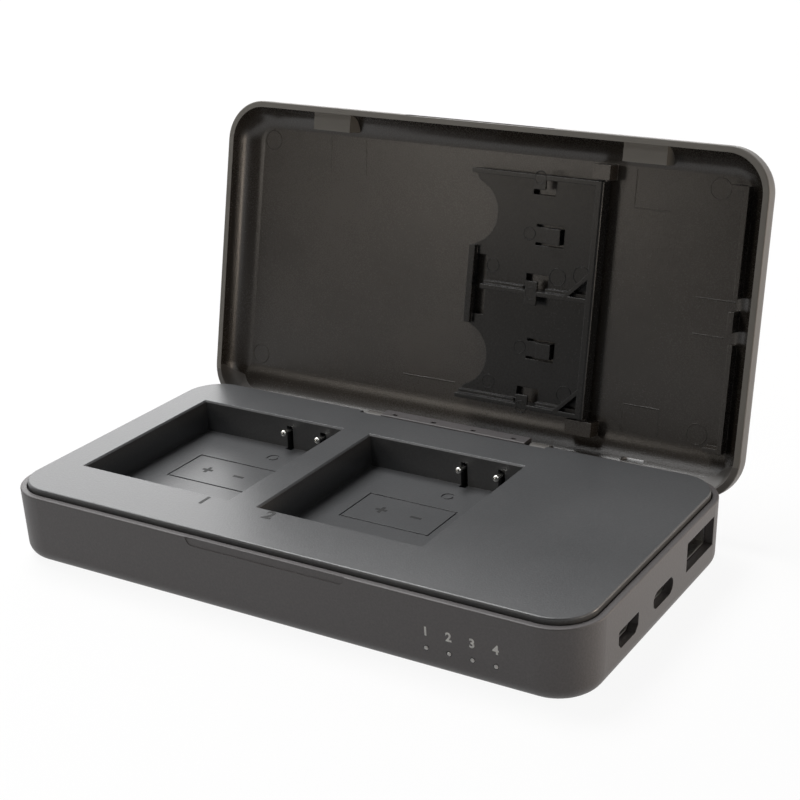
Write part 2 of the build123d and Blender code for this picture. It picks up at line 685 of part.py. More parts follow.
# Lid: a shallow shell with a rolled back edge; its latches, ears, posts and rails are one moulding with it
with BuildPart() as lid:
    add(lid_form.part)
    add(lid_hollow.part, mode=Mode.SUBTRACT)

    # latch blocks on the free edge
    floor_plane = lid_plane.offset(lid_inside - lid_floor / 2)
    floor_dip = lid_floor / 2
    for side in (1, -1):
        upright(floor_plane, (side * latch_x - latch_width / 2, side * latch_x + latch_width / 2),
                (lid_free - lid_wall - latch_height, lid_free - lid_wall / 2),
                lid_rim - latch_front - lid_inside + floor_dip)

    # posts at the two ends of the card holder's pivot
    post_rise = lid_rim - post_front - lid_inside + floor_dip
    holder_end = holder_height / 2 + pivot_end_gap
    upright(floor_plane, (pivot_x - top_post_width / 2, pivot_x + top_post_width / 2),
            (holder_middle + holder_end, holder_middle + holder_end + post_length), post_rise)
    upright(floor_plane, (pivot_x - low_post_width / 2, pivot_x + low_post_width / 2),
            (holder_middle - holder_end - post_length, holder_middle - holder_end), post_rise)
    for side in (1, -1):
        with BuildSketch(pivot_plane(side * holder_end)):
            Circle(pivot_radius + pivot_fit)
        extrude(amount=side * (pivot_length - pivot_end_gap + pivot_fit), mode=Mode.SUBTRACT)

    # rails round the folded card holder, and the hook that catches its bar
    rail_x = pivot_x + holder_reach + rail_gap
    rail_low = holder_low - rail_end_gap
    rail_high = holder_low + holder_height + rail_end_gap
    rail_rise = rail_height + floor_dip
    hook_range = (holder_middle - hook_length / 2, holder_middle + hook_length / 2)
    rail_range = (rail_x, rail_x + rail_width)
    upright(floor_plane, rail_range, (rail_low, holder_middle - hook_opening / 2), rail_rise)
    upright(floor_plane, rail_range, (holder_middle + hook_opening / 2, rail_high), rail_rise)
    upright(floor_plane, (rail_x - rail_low_leg, rail_x), (rail_low, rail_low + rail_width), rail_rise)
    upright(floor_plane, (rail_x - rail_top_leg, rail_x), (rail_high - rail_width, rail_high), rail_rise)
    upright(floor_plane, (rail_x, rail_x + hook_width), hook_range, hook_height + floor_dip)
    upright(lid_plane.offset(lid_inside + hook_height), (rail_x - hook_nose, rail_x + hook_width / 2),
            hook_range, -hook_nose_height)
    add(lid_form.part, mode=Mode.INTERSECT)

    # the thumb hollow at the free edge and the small window in the round beside the hinge
    free_plane = Plane(origin=lid_plane.from_local_coords(Vector(0, lid_free, lid_rim)),
                       x_dir=lid_plane.x_dir, z_dir=lid_plane.y_dir)
    with BuildSketch(free_plane):
        RectangleRounded(thumb_width, 2 * thumb_height, thumb_round)
    extrude(amount=-thumb_depth, mode=Mode.SUBTRACT)
    upright(lid_plane.offset(lid_inside - 2 * lid_floor), (vent_x - vent_width / 2, vent_x + vent_width / 2),
            (vent_low, vent_low + vent_height), lid_depth, Mode.SUBTRACT)

    # room for the housing's barrel, and an ear on the hinge pin at each side of it
    ear_start = barrel_length / 2 + knuckle_gap
    ear_plane = side_plane.offset(hinge_shift)
    with BuildSketch(ear_plane):
        Circle(knuckle_radius + knuckle_gap)
    extrude(amount=ear_start, both=True, mode=Mode.SUBTRACT)
    for side in (1, -1):
        with BuildSketch(ear_plane.offset(side * ear_start)):
            Circle(knuckle_radius)
            with BuildLine():
                Polyline((-knuckle_radius, 0), (lid_root + lid_wall / 4, -knuckle_web),
                         (lid_root + lid_wall, -knuckle_web), (0, -knuckle_radius), (0, 0), close=True)
            make_face()
        extrude(amount=side * ear_length)
        with BuildSketch(ear_plane.offset(side * ear_start)):
            Circle(pin_radius + pin_fit)
        extrude(amount=side * (ear_length - pin_cap), mode=Mode.SUBTRACT)
lid.part.label = "lid"
export_step(lid.part, "parts/lid.step")

# Card holder: a thin plate with rails for two cards, finger scoops, tabs, springs and two pivots
half_height = holder_height / 2
card_pitch = card_width + card_clearance + holder_rail
rail_levels = [card_pitch, 0, -card_pitch]
bay_levels = [card_pitch / 2, -card_pitch / 2]
notch_u = -holder_reach + catch_bar + catch_notch_width
with BuildPart() as card_holder:
    with BuildSketch(holder_plane) as plate:
        with Locations(((holder_edge - holder_edge_wall - holder_reach) / 2, 0)):
            Rectangle(holder_reach + holder_edge - holder_edge_wall, holder_height)
        with Locations((-holder_reach - scoop_out, scoop_v), (-holder_reach - scoop_out, -scoop_v)):
            Circle(scoop_radius, mode=Mode.SUBTRACT)
        scoop_ends = plate.vertices().group_by(Axis.X)[0].filter_by(
            lambda v: abs(v.Y) < half_height - holder_rail)
        fillet(scoop_ends, scoop_blend)
        with Locations((notch_u - catch_notch_width / 2, 0)):
            Rectangle(catch_notch_width, catch_notch_length, mode=Mode.SUBTRACT)
        with Locations((tab_u, card_pitch - (holder_rail + tab_hole_reach) / 2),
                       (tab_u, (holder_rail + tab_hole_reach) / 2),
                       (tab_u, -card_pitch + (holder_rail + tab_hole_reach) / 2)):
            Rectangle(tab_hole_width, tab_hole_reach, mode=Mode.SUBTRACT)
        finger_middle = finger_root_u + (finger_length + finger_slot) / 2
        with Locations([(finger_middle, v) for v in bay_levels]):
            Rectangle(finger_length + finger_slot, finger_width + 2 * finger_slot, mode=Mode.SUBTRACT)
        with Locations([(finger_root_u + finger_length / 2, v) for v in bay_levels]):
            Rectangle(finger_length, finger_width)
    extrude(amount=holder_plate)

    # rails with a low step beside them, from the free edge or the catch notch to the pivot
    inner_u = holder_edge - holder_edge_wall
    for level in rail_levels:
        start_u = notch_u if level == 0 else -holder_reach
        upright(holder_plane, (start_u, inner_u), (level - holder_rail / 2, level + holder_rail / 2),
                holder_thickness)
    for level in (0, -card_pitch):
        step_low = level + holder_rail / 2
        start_u = notch_u if level == 0 else -holder_reach
        for step_u in ((start_u, tab_u - tab_hole_width / 2), (tab_u + tab_hole_width / 2, inner_u)):
            upright(holder_plane.offset(holder_plate), step_u, (step_low, step_low + step_width), step_height)

    # tabs over the cards at the middle of each rail
    tab_plane = holder_plane.offset(holder_thickness)
    tab_range = (tab_u - tab_width / 2, tab_u + tab_width / 2)
    upright(tab_plane, tab_range, (card_pitch - tab_reach, card_pitch), -tab_thickness)
    upright(tab_plane, tab_range, (-tab_reach, tab_reach), -tab_thickness)
    upright(tab_plane, tab_range, (-card_pitch, -card_pitch + tab_reach), -tab_thickness)

    # raised pads on the spring fingers and stops for the cards' cut corners
    finger_end = finger_root_u + finger_length
    for level in bay_levels:
        upright(holder_plane.offset(holder_plate), (finger_end - finger_pad_length, finger_end),
                (level - finger_width / 2, level + finger_width / 2), finger_pad_height)
    for level in (0, -card_pitch):
        stop_v = level + holder_rail / 2
        with BuildSketch(holder_plane):
            with BuildLine():
                Polyline((inner_u - corner_stop, stop_v), (inner_u, stop_v + corner_stop),
                         (inner_u, stop_v + corner_stop + 1.5 * corner_stop_wall),
                         (inner_u - corner_stop - 1.5 * corner_stop_wall, stop_v), close=True)
            make_face()
        extrude(amount=holder_thickness)

    # the bar that the lid's hook catches
    bar_half = catch_notch_length / 2 + scoop_blend
    upright(holder_plane, (-holder_reach, -holder_reach + catch_bar), (-bar_half, bar_half), catch_bar_height)

    # the wall at the pivot, with a round stub at each end
    with BuildSketch(pivot_plane(-half_height)) as edge_wall:
        with Locations((holder_edge - holder_edge_wall / 2, 0)):
            Rectangle(holder_edge_wall, holder_thickness)
        fillet(edge_wall.vertices().group_by(Axis.X)[-1], holder_edge_round)
    extrude(amount=holder_height)
    for side in (1, -1):
        with BuildSketch(pivot_plane(side * half_height)):
            Circle(pivot_radius)
        extrude(amount=side * pivot_length)
card_holder.part.label = "card_holder"
export_step(card_holder.part, "parts/card_holder.step")
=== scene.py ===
from math import cos, radians, sin

import bmesh
import bpy
from mathutils import Matrix, Vector


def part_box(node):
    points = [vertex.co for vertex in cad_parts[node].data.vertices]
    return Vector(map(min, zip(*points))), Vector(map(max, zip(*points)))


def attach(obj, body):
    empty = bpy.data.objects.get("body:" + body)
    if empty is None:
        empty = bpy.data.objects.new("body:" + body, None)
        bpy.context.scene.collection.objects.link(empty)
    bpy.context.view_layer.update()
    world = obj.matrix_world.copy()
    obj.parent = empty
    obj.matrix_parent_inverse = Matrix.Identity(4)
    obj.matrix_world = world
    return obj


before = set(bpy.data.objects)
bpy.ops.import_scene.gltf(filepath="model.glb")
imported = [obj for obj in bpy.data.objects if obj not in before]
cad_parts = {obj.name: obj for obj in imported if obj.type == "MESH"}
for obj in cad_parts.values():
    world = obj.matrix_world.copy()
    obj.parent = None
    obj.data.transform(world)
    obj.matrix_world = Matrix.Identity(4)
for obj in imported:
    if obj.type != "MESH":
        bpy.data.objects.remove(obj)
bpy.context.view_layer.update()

# Camera: the photograph looks down at the open charger from its front right corner.
# The lens is a short telephoto, and the picture's centre lies a little off the lens axis.
MM = 0.001
picture_pixels = 800
sensor_width_mm = 36
camera_target = Vector((0.79, 33.30, 33.53)) * MM
camera_distance = 362.55 * MM
camera_azimuth = radians(30.74)
camera_elevation = radians(20.10)
camera_roll = radians(-1.654)
camera_focal_pixels = 1662.6
camera_nearest = 10 * MM
lens_axis_pixel = (445, 355)

camera_back = Vector((sin(camera_azimuth) * cos(camera_elevation),
                      -cos(camera_azimuth) * cos(camera_elevation),
                      sin(camera_elevation)))
level_right = Vector((cos(camera_azimuth), sin(camera_azimuth), 0))
level_up = camera_back.cross(level_right)
camera_right = cos(camera_roll) * level_right + sin(camera_roll) * level_up
camera_up = cos(camera_roll) * level_up - sin(camera_roll) * level_right
camera_data = bpy.data.cameras.new("camera")
camera_data.sensor_width = sensor_width_mm
camera_data.lens = camera_focal_pixels * sensor_width_mm / picture_pixels
camera_data.shift_x = (picture_pixels / 2 - lens_axis_pixel[0]) / picture_pixels
camera_data.shift_y = (lens_axis_pixel[1] - picture_pixels / 2) / picture_pixels
camera_data.clip_start = camera_nearest
camera = bpy.data.objects.new("camera", camera_data)
bpy.context.scene.collection.objects.link(camera)
camera_turn = Matrix((camera_right, camera_up, camera_back)).transposed()
camera_place = camera_target + camera_back * camera_distance
camera.matrix_world = Matrix.LocRotScale(camera_place, camera_turn, None)
bpy.context.scene.camera = camera
bpy.context.scene.view_settings.view_transform = "Standard"


# Bottom housing: the charger's lower shell, a tray that carries the board, the sockets and the lid's hinge.
# It is moulded in dark plastic, and the mould's spark-eroded face leaves a fine sandy skin on it.
# Its edges are painted a little paler, a painted highlight.
class Tone:
    """One socket of a finish's node tree: arithmetic on it adds Math nodes."""

    def __init__(self, tree, socket=None):
        self.tree = tree
        self.socket = socket

    def node(self, kind, settings=None, sockets=None, out=0):
        """Add a node: its settings first, then the values or links of its sockets."""
        made = self.tree.nodes.new(kind)
        for name, value in (settings or {}).items():
            if name == "stops":
                for stop, (position, colour) in zip(made.color_ramp.elements, value):
                    stop.position = position
                    stop.color = colour
            else:
                setattr(made, name, value)
        for name, value in (sockets or {}).items():
            if isinstance(value, Tone):
                self.tree.links.new(value.socket, made.inputs[name])
            else:
                made.inputs[name].default_value = value
        return Tone(self.tree, made.outputs[out])

    def maths(self, operation, second=0.0, first=None):
        """A Math node on this tone and a second value, or on another first value."""
        return self.node("ShaderNodeMath", {"operation": operation},
                         {0: self if first is None else first, 1: second})

    def two_tone(self, stops, dark, light):
        """A ramp over this tone, from a dark colour at the first stop to a light one at the second."""
        colours = [(stops[0], (*dark, 1)), (stops[1], (*light, 1))]
        return self.node("ShaderNodeValToRGB", {"stops": colours}, {"Fac": self})

    def mix(self, first, second):
        """A mix of two colours, with this tone as the second one's share."""
        return self.node("ShaderNodeMix", {"data_type": "RGBA"}, {"Factor": self, "A": first, "B": second},
                         out="Result")

    def __add__(self, other):
        return self.maths("ADD", other)

    def __sub__(self, other):
        return self.maths("SUBTRACT", other)

    def __rsub__(self, other):
        return self.maths("SUBTRACT", self, first=other)

    def __mul__(self, other):
        return self.maths("MULTIPLY", other)

    __radd__ = __add__
    __rmul__ = __mul__


def new_finish(name, constants):
    """Start a finish: its material, its shader with the given constants, and its node tree."""
    material = bpy.data.materials.new(name)
    material.use_nodes = True
    shader = material.node_tree.nodes["Principled BSDF"]
    for socket, value in constants.items():
        shader.inputs[socket].default_value = value
    return material, shader, Tone(material.node_tree)


def feed(shader, **links):
    """Link tones to the shader's sockets; Base_Color stands for Base Color."""
    for name, tone in links.items():
        tone.tree.links.new(tone.socket, shader.inputs[name.replace("_", " ")])


cloud_per_metre = 38.0
cloud_share = 0.35
grain_share = 0.6
pit_scale = 0.7
pit_smoothness = 0.6
skin_stops = (0.25, 0.75)
patch_stops = (0.3, 0.7)
cloud_gloss = 0.10
skin_gloss = 0.12
skin_bump = 0.6
edge_highlight_share = 2.0


def moulded_plastic(name, dark, light, grain_mm, grain_depth_mm, rough, gloss_level=0.5,
                    edge_mm=0.15, edge_highlight_gain=1.8, patches=()):
    """Moulded plastic: a fine grain in its skin, slow cloudy changes of colour and gloss, and edges painted
    paler as a painted highlight.

    Each patch is a function that masks a part of the skin, and that part's two colours and roughness.
    """
    material, shader, tree = new_finish(name, {"Specular IOR Level": gloss_level})
    place = tree.node("ShaderNodeTexCoord", out="Object")
    grain_per_metre = 1 / (grain_mm * MM)
    cloud = tree.node("ShaderNodeTexNoise", sockets={"Vector": place, "Scale": cloud_per_metre,
                                                     "Detail": 3.0})
    grain = tree.node("ShaderNodeTexNoise", sockets={"Vector": place, "Scale": grain_per_metre,
                                                     "Detail": 2.0, "Roughness": 0.6})
    pits = tree.node("ShaderNodeTexVoronoi", {"feature": "SMOOTH_F1"},
                     {"Vector": place, "Scale": pit_scale * grain_per_metre, "Smoothness": pit_smoothness})
    skin = grain * grain_share + pits * (1 - grain_share)
    mixed = cloud * cloud_share + skin * (1 - cloud_share)
    colour = mixed.two_tone(skin_stops, dark, light)
    base_rough = (cloud - 0.5) * cloud_gloss + (skin - 0.5) * skin_gloss + rough
    for mask_of, patch_dark, patch_light, patch_rough in patches:
        mask = mask_of(tree, place)
        colour = mask.mix(colour, cloud.two_tone(patch_stops, patch_dark, patch_light))
        base_rough = base_rough + mask * (patch_rough - rough)
    round_edge = tree.node("ShaderNodeBevel", {"samples": 4}, {"Radius": edge_mm * MM})
    flat_face = tree.node("ShaderNodeNewGeometry", out="Normal")
    edge = 1 - tree.node("ShaderNodeVectorMath", {"operation": "DOT_PRODUCT"}, {0: round_edge, 1: flat_face},
                         out="Value")
    # Edges are lightened towards a multiple of the light colour: a painted highlight along them.
    painted_edge_colour = (edge * edge_highlight_share).mix(colour, (*[c * edge_highlight_gain for c in light], 1))
    bump = tree.node("ShaderNodeBump", sockets={"Height": skin, "Strength": skin_bump,
                                                "Distance": grain_depth_mm * MM, "Normal": round_edge})
    feed(shader, Base_Color=painted_edge_colour, Roughness=base_rough, Normal=bump)
    return material


def dress(material, *nodes):
    """Give one material to the objects of some CAD nodes."""
    for node in nodes:
        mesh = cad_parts[node].data
        mesh.materials.clear()
        mesh.materials.append(material)


housing_plastic = moulded_plastic("housing_plastic", dark=(0.072, 0.067, 0.068), light=(0.114, 0.106, 0.107),
                                  grain_mm=0.32, grain_depth_mm=0.06, rough=0.48)
dress(housing_plastic, "bottom_housing")


# Board and the parts on it, hidden by the housing: a fibreglass sheet under a green solder mask.
# Soldered to it are moulded chips, ferrite inductors and capacitors in drawn aluminium cans.
def drawn_metal(name, colour, rough):
    """Bare metal with fine drawing lines along X."""
    material, shader, tree = new_finish(name, {"Metallic": 1.0})
    place = tree.node("ShaderNodeTexCoord", out="Object")
    lines_per_metre = (400.0, 6000.0, 6000.0)
    line_shade, line_gloss, line_bump, line_depth_mm = 0.85, 0.15, 0.3, 0.01
    stretched = tree.node("ShaderNodeMapping", sockets={"Vector": place, "Scale": lines_per_metre})
    lines = tree.node("ShaderNodeTexNoise", sockets={"Vector": stretched, "Scale": 1.0, "Detail": 2.0})
    shade = lines.mix((*[c * line_shade for c in colour], 1), (*colour, 1))
    bump = tree.node("ShaderNodeBump", sockets={"Height": lines, "Strength": line_bump,
                                                "Distance": line_depth_mm * MM})
    feed(shader, Base_Color=shade, Roughness=lines * line_gloss + rough, Normal=bump)
    return material


board_mask = moulded_plastic("board_mask", dark=(0.01, 0.05, 0.025), light=(0.015, 0.07, 0.035),
                             grain_mm=0.5, grain_depth_mm=0.01, rough=0.3)
dress(board_mask, "main_board")
socket_plastic = moulded_plastic("socket_plastic", dark=(0.012, 0.012, 0.012), light=(0.02, 0.02, 0.02),
                                 grain_mm=0.12, grain_depth_mm=0.01, rough=0.45)
dress(socket_plastic, "charge_controller_1", "charge_controller_2")
ferrite = moulded_plastic("ferrite", dark=(0.03, 0.03, 0.03), light=(0.05, 0.05, 0.05),
                          grain_mm=0.2, grain_depth_mm=0.03, rough=0.6, gloss_level=0.4)
dress(ferrite, "inductor_1", "inductor_2")
can_metal = drawn_metal("can_metal", (0.62, 0.62, 0.62), rough=0.3)
dress(can_metal, "capacitor_1", "capacitor_2")

# Sockets: three shells folded from rolled steel strip, each round a tongue of black plastic.
# They are soldered to the board's edge and open through the housing's right wall.
steel = drawn_metal("drawn_steel", (0.68, 0.68, 0.67), rough=0.22)
dress(steel, "usb_a_shell", "usb_c_shell", "mini_usb_shell")
dress(socket_plastic, "usb_a_tongue", "usb_c_tongue", "mini_usb_tongue")


# Blades on the sockets' tongues: thin gilt strips, side by side, that touch those of a plug.
# They are stamped from sheet and pressed into the plastic, so half of each one's thickness stands out.
def finished_mesh(name, form):
    """Make a mesh of a finished form."""
    mesh = bpy.data.meshes.new(name)
    form.to_mesh(mesh)
    form.free()
    return mesh


def add_piece(name, mesh, finish, body):
    """Make an object of a mesh in its place, which rides on a body."""
    mesh.materials.clear()
    mesh.materials.append(finish)
    piece = bpy.data.objects.new(name, mesh)
    bpy.context.scene.collection.objects.link(piece)
    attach(piece, body)


gilt = drawn_metal("gilt", (0.80, 0.60, 0.28), rough=0.18)
under, over = -1, 1
tongue_blades = (("usb_a_tongue", 4, 1.0, (under,)),
                 ("usb_c_tongue", 6, 0.28, (under, over)),
                 ("mini_usb_tongue", 5, 0.4, (under,)))
blade_thickness = 0.08
blade_margin = 0.6
blade_longest = 7.0
blade_side_room = 0.4
blade_round = 0.04
blades = bmesh.new()
for tongue, count, blade_width, sides in tongue_blades:
    tongue_low, tongue_high = (Vector(corner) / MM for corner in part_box(tongue))
    blade_pitch = (tongue_high.y - tongue_low.y) / (count + blade_side_room)
    blade_length = min(blade_longest, tongue_high.x - tongue_low.x - 2 * blade_margin)
    blade_scale = Matrix.Diagonal((blade_length, blade_width, 2 * blade_thickness, 1))
    for side in sides:
        level = tongue_high.z if side == over else tongue_low.z
        for i in range(count):
            across = (tongue_low.y + tongue_high.y) / 2 + (i - (count - 1) / 2) * blade_pitch
            middle = Vector((tongue_high.x - blade_margin - blade_length / 2, across, level))
            made = bmesh.ops.create_cube(blades, size=MM)
            bmesh.ops.transform(blades, verts=made["verts"],
                                matrix=Matrix.Translation(middle * MM) @ blade_scale)
bmesh.ops.bevel(blades, geom=blades.edges[:], offset=blade_round * MM, offset_type="OFFSET", segments=2,
                profile=0.5, affect="EDGES", material=-1)
add_piece("socket_blades", finished_mesh("socket_blades", blades), gilt, "base")

# Status lamps and light pipes: four pale chips on the board, each behind a rod in the front wall.
# The rods are moulded in smoky clear plastic, look nearly black while the lamps are off, and are pressed in.
pipe_plastic = moulded_plastic("pipe_plastic", dark=(0.008, 0.008, 0.008), light=(0.014, 0.014, 0.014),
                               grain_mm=0.3, grain_depth_mm=0.005, rough=0.22)
led_plastic = moulded_plastic("led_plastic", dark=(0.6, 0.58, 0.5), light=(0.7, 0.68, 0.6),
                              grain_mm=0.3, grain_depth_mm=0.005, rough=0.3)
lamp_numbers = (1, 2, 3, 4)
for number in lamp_numbers:
    dress(pipe_plastic, f"light_pipe_{number}")
    dress(led_plastic, f"status_led_{number}")

# Lamp lenses: the rounded outer ends of the light pipes, a little proud of the front wall's holes.
# They are polished clear plastic, coloured pale grey all over as a painted highlight of where it catches the
# light.
lens_radius = 0.42
lens_bulge = 0.18
lens_form = Matrix.Diagonal((1, lens_bulge / lens_radius, 1, 1))
lamp_lenses = bmesh.new()
for number in lamp_numbers:
    pipe_low, pipe_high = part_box(f"light_pipe_{number}")
    lens_place = Vector(((pipe_low[0] + pipe_high[0]) / 2, pipe_low[1], (pipe_low[2] + pipe_high[2]) / 2))
    made = bmesh.ops.create_uvsphere(lamp_lenses, u_segments=24, v_segments=12, radius=lens_radius * MM)
    bmesh.ops.transform(lamp_lenses, verts=made["verts"], matrix=Matrix.Translation(lens_place) @ lens_form)
bmesh.ops.recalc_face_normals(lamp_lenses, faces=lamp_lenses.faces)
for face in lamp_lenses.faces:
    face.smooth = True
# The lenses' pale grey colour is a painted highlight on clear plastic.
lens_highlight_plastic = moulded_plastic("lens_highlight_plastic", dark=(0.66, 0.66, 0.66), light=(0.78, 0.78, 0.78),
                               grain_mm=0.3, grain_depth_mm=0.005, rough=0.15)
add_piece("lamp_lenses", finished_mesh("lamp_lenses", lamp_lenses), lens_highlight_plastic, "base")

# Deck: the top moulding, one piece with the two battery bays and the posts that take the screws.
# It is the housing's plastic, a shade greyer and finer in grain, and smooth enough to pick up the pale room.
deck_plastic = moulded_plastic("deck_plastic", dark=(0.068, 0.070, 0.073), light=(0.108, 0.110, 0.113),
                               grain_mm=0.30, grain_depth_mm=0.05, rough=0.33)
dress(deck_plastic, "deck")

# Battery contacts: four spring strips, each with a round nose, in slots in the bays' rear walls.
# They are stamped and bent from sheet, plated bright, and stand on the board.
contact_metal = drawn_metal("contact_plating", (0.80, 0.79, 0.75), rough=0.14)
dress(contact_metal, "contact_1_1", "contact_1_2", "contact_2_1", "contact_2_2")

# Screws and hinge pin: plain drawn steel, like the sockets' shells.
# The screws go up from the underside into the deck's posts, and the pin goes through the hinge's knuckles.
dress(steel, "housing_screws", "hinge_pin")


# Lid: a shallow shell on the hinge pin, one moulding with its latch blocks, posts, rails and hook.
# It is the housing's plastic, spark-textured outside, on its rim and on its latch blocks, and the rim and
# latch faces are painted lighter as a painted highlight.
# Inside it is smoother, and painted a darker warm brown grey as painted shade. Sizes here are in mm from the
# hinge line.
lid_tilt = radians(12)
lid_along = Vector((0, sin(lid_tilt), cos(lid_tilt)))
lid_inward = Vector((0, -cos(lid_tilt), sin(lid_tilt)))
lid_hinge = Vector((0, 35.0, 13.3)) * MM
lid_half_length = 67.1
lid_half_depth = 35.1
lid_centre = 35.0
lid_corner = 9.6
lid_mid_wall = 0.7
lid_round_start = -4.9
lid_round_slope = 0.16
lid_rim = -2.3
lid_rim_slack = 0.1
lid_rim_start = 5.0
lid_floor = -8.3
lid_floor_slack = 0.6
latch_middle = 39.0
latch_half = 5.05
latch_low = 64.7
latch_high = 68.9


def lid_measures(tree, place):
    """How far a point lies to the side, along the lid and over its hinge line, and a mask of the latches."""
    def measure(direction):
        run = tree.node("ShaderNodeVectorMath", {"operation": "DOT_PRODUCT"}, {0: place, 1: direction},
                        out="Value")
        return (run - lid_hinge.dot(Vector(direction))) * (1 / MM)

    side = measure((1, 0, 0)).maths("ABSOLUTE")
    along = measure(lid_along)
    off_latch = (side - latch_middle).maths("ABSOLUTE")
    latch = off_latch.maths("LESS_THAN", latch_half) * along.maths("GREATER_THAN", latch_low)
    return side, along, measure(lid_inward), latch


def lid_inner_skin(tree, place):
    """1 on the lid's smooth inside, which is painted darker as painted shade, 0 on its outside, its rim and
    its latch blocks.
    """
    def part_over(tone):
        return tone.maths("MAXIMUM", 0.0)

    side, along, height, latch = lid_measures(tree, place)
    end = (along - lid_centre).maths("ABSOLUTE")
    corner_x = part_over(side - (lid_half_length - lid_corner))
    corner_y = part_over(end - (lid_half_depth - lid_corner))
    out = corner_x * corner_x + corner_y * corner_y
    drop = part_over(lid_round_start - height)
    reach = lid_corner - lid_mid_wall - drop * drop * lid_round_slope
    within = out.maths("LESS_THAN", reach * reach)
    under_rim = height.maths("LESS_THAN", lid_rim - lid_rim_slack)
    over_back = height.maths("GREATER_THAN", lid_floor - lid_floor_slack)
    return within * under_rim * over_back * (1 - latch)


def lid_rim_skin(tree, place):
    """1 on the lid's rim and on the faces of its latch blocks, which are painted lighter as a painted
    highlight.
    """
    _, along, height, latch = lid_measures(tree, place)
    rim = height.maths("GREATER_THAN", lid_rim - lid_rim_slack) * along.maths("GREATER_THAN", lid_rim_start)
    latch_face = latch * height.maths("GREATER_THAN", lid_floor) * along.maths("LESS_THAN", latch_high)
    return rim.maths("MAXIMUM", latch_face)


# The inside's colours are a painted shade, darker than the lid's outside; its lower roughness is its
# smoother skin.
inside_shade_patch = (lid_inner_skin, (0.036, 0.031, 0.026), (0.050, 0.043, 0.036), 0.27)
# The rim's colours are a painted highlight, lighter than the lid's outside.
rim_highlight_patch = (lid_rim_skin, (0.185, 0.175, 0.158), (0.225, 0.213, 0.193), 0.48)
lid_plastic = moulded_plastic("lid_plastic", dark=(0.114, 0.107, 0.100), light=(0.136, 0.128, 0.119),
                              grain_mm=0.22, grain_depth_mm=0.04, rough=0.48, patches=(inside_shade_patch, rim_highlight_patch))
dress(lid_plastic, "lid")


# Marks of the mould on the lid's inner face: the edges of four ejector pins, and joint lines of its slides.
# Each is a low rim of the moulding's own plastic, at most a tenth of a millimetre high.
def pin_ring(form, x, y, z, radius):
    """Spin a low round rim, sizes in mm, in the form's XY plane."""
    section = [(radius - mark_width / 2, -pin_rise), (radius - mark_width / 4, pin_rise),
               (radius + mark_width / 4, pin_rise), (radius + mark_width / 2, -pin_rise)]
    corners = [form.verts.new(((x + out) * MM, y * MM, (z + up) * MM)) for out, up in section]
    edges = [form.edges.new((corners[i], corners[(i + 1) % 4])) for i in range(4)]
    bmesh.ops.spin(form, geom=corners + edges, cent=(x * MM, y * MM, z * MM), axis=(0, 0, 1),
                   angle=radians(360), steps=40, use_merge=True)


def joint_line(form, start, end, z):
    """A low straight rim between two points, sizes in mm, in the form's XY plane."""
    run = Vector(end) - Vector(start)
    middle = (Vector(end) + Vector(start)) / 2
    turn = Matrix.Rotation(run.angle_signed(Vector((1, 0))), 4, "Z")
    made = bmesh.ops.create_cube(form, size=MM)
    bmesh.ops.transform(form, verts=made["verts"],
                        matrix=Matrix.Translation(Vector((*middle, z)) * MM) @ turn
                        @ Matrix.Diagonal((run.length, mark_width, 2 * line_rise, 1)))
    top = [edge for edge in {edge for corner in made["verts"] for edge in corner.link_edges}
           if all(corner.co.z > z * MM for corner in edge.verts)]
    bmesh.ops.bevel(form, geom=top, offset=line_rise * MM, offset_type="OFFSET", segments=2, profile=0.5,
                    affect="EDGES", material=-1)


mark_width = 0.3
pin_rise = 0.1
line_rise = 0.06
lid_place = Matrix.LocRotScale(lid_hinge, Matrix(((1, 0, 0), lid_along, lid_inward)).transposed(), None)
lid_pins = ((-58.2, 60.9), (-58.2, 9.2), (54.6, 60.9), (54.9, 9.2))
lid_pin_radius = 2.25
lid_lines = (((51.6, 30.3), (58.7, 30.3)), ((51.6, 38.0), (60.4, 38.0)),
             ((-17.8, 10.7), (-3.9, 10.8)),
             ((37.6, 12.9), (46.0, 12.9)), ((37.6, 12.9), (37.6, 7.2)), ((46.0, 12.9), (46.0, 7.2)),
             ((-41.7, 63.2), (-41.4, 55.0)), ((-32.3, 63.2), (-31.6, 55.0)),
             ((35.8, 63.2), (35.8, 55.0)), ((35.8, 55.0), (44.2, 55.0)))
lid_marks = bmesh.new()
for pin_x, pin_along in lid_pins:
    pin_ring(lid_marks, pin_x, pin_along, lid_floor, lid_pin_radius)
for line_start, line_end in lid_lines:
    joint_line(lid_marks, line_start, line_end, lid_floor)
bmesh.ops.recalc_face_normals(lid_marks, faces=lid_marks.faces)
bmesh.ops.transform(lid_marks, verts=lid_marks.verts, matrix=lid_place)
add_piece("lid_mould_marks", finished_mesh("lid_mould_marks", lid_marks), lid_plastic, "cover")

# Card holder: a swing-out plate for two memory cards, one moulding with its rails, tabs and spring fingers.
# Its plastic is blacker and glossier than the lid's, with bright lines painted along its edges as a painted
# highlight.
# It turns on the lid's two pivot posts.
holder_plastic = moulded_plastic("holder_plastic", dark=(0.013, 0.013, 0.013), light=(0.018, 0.018, 0.018),
                                 grain_mm=0.35, grain_depth_mm=0.003, rough=0.27, gloss_level=0.28,
                                 edge_mm=0.25, edge_highlight_gain=7.0)
dress(holder_plastic, "card_holder")

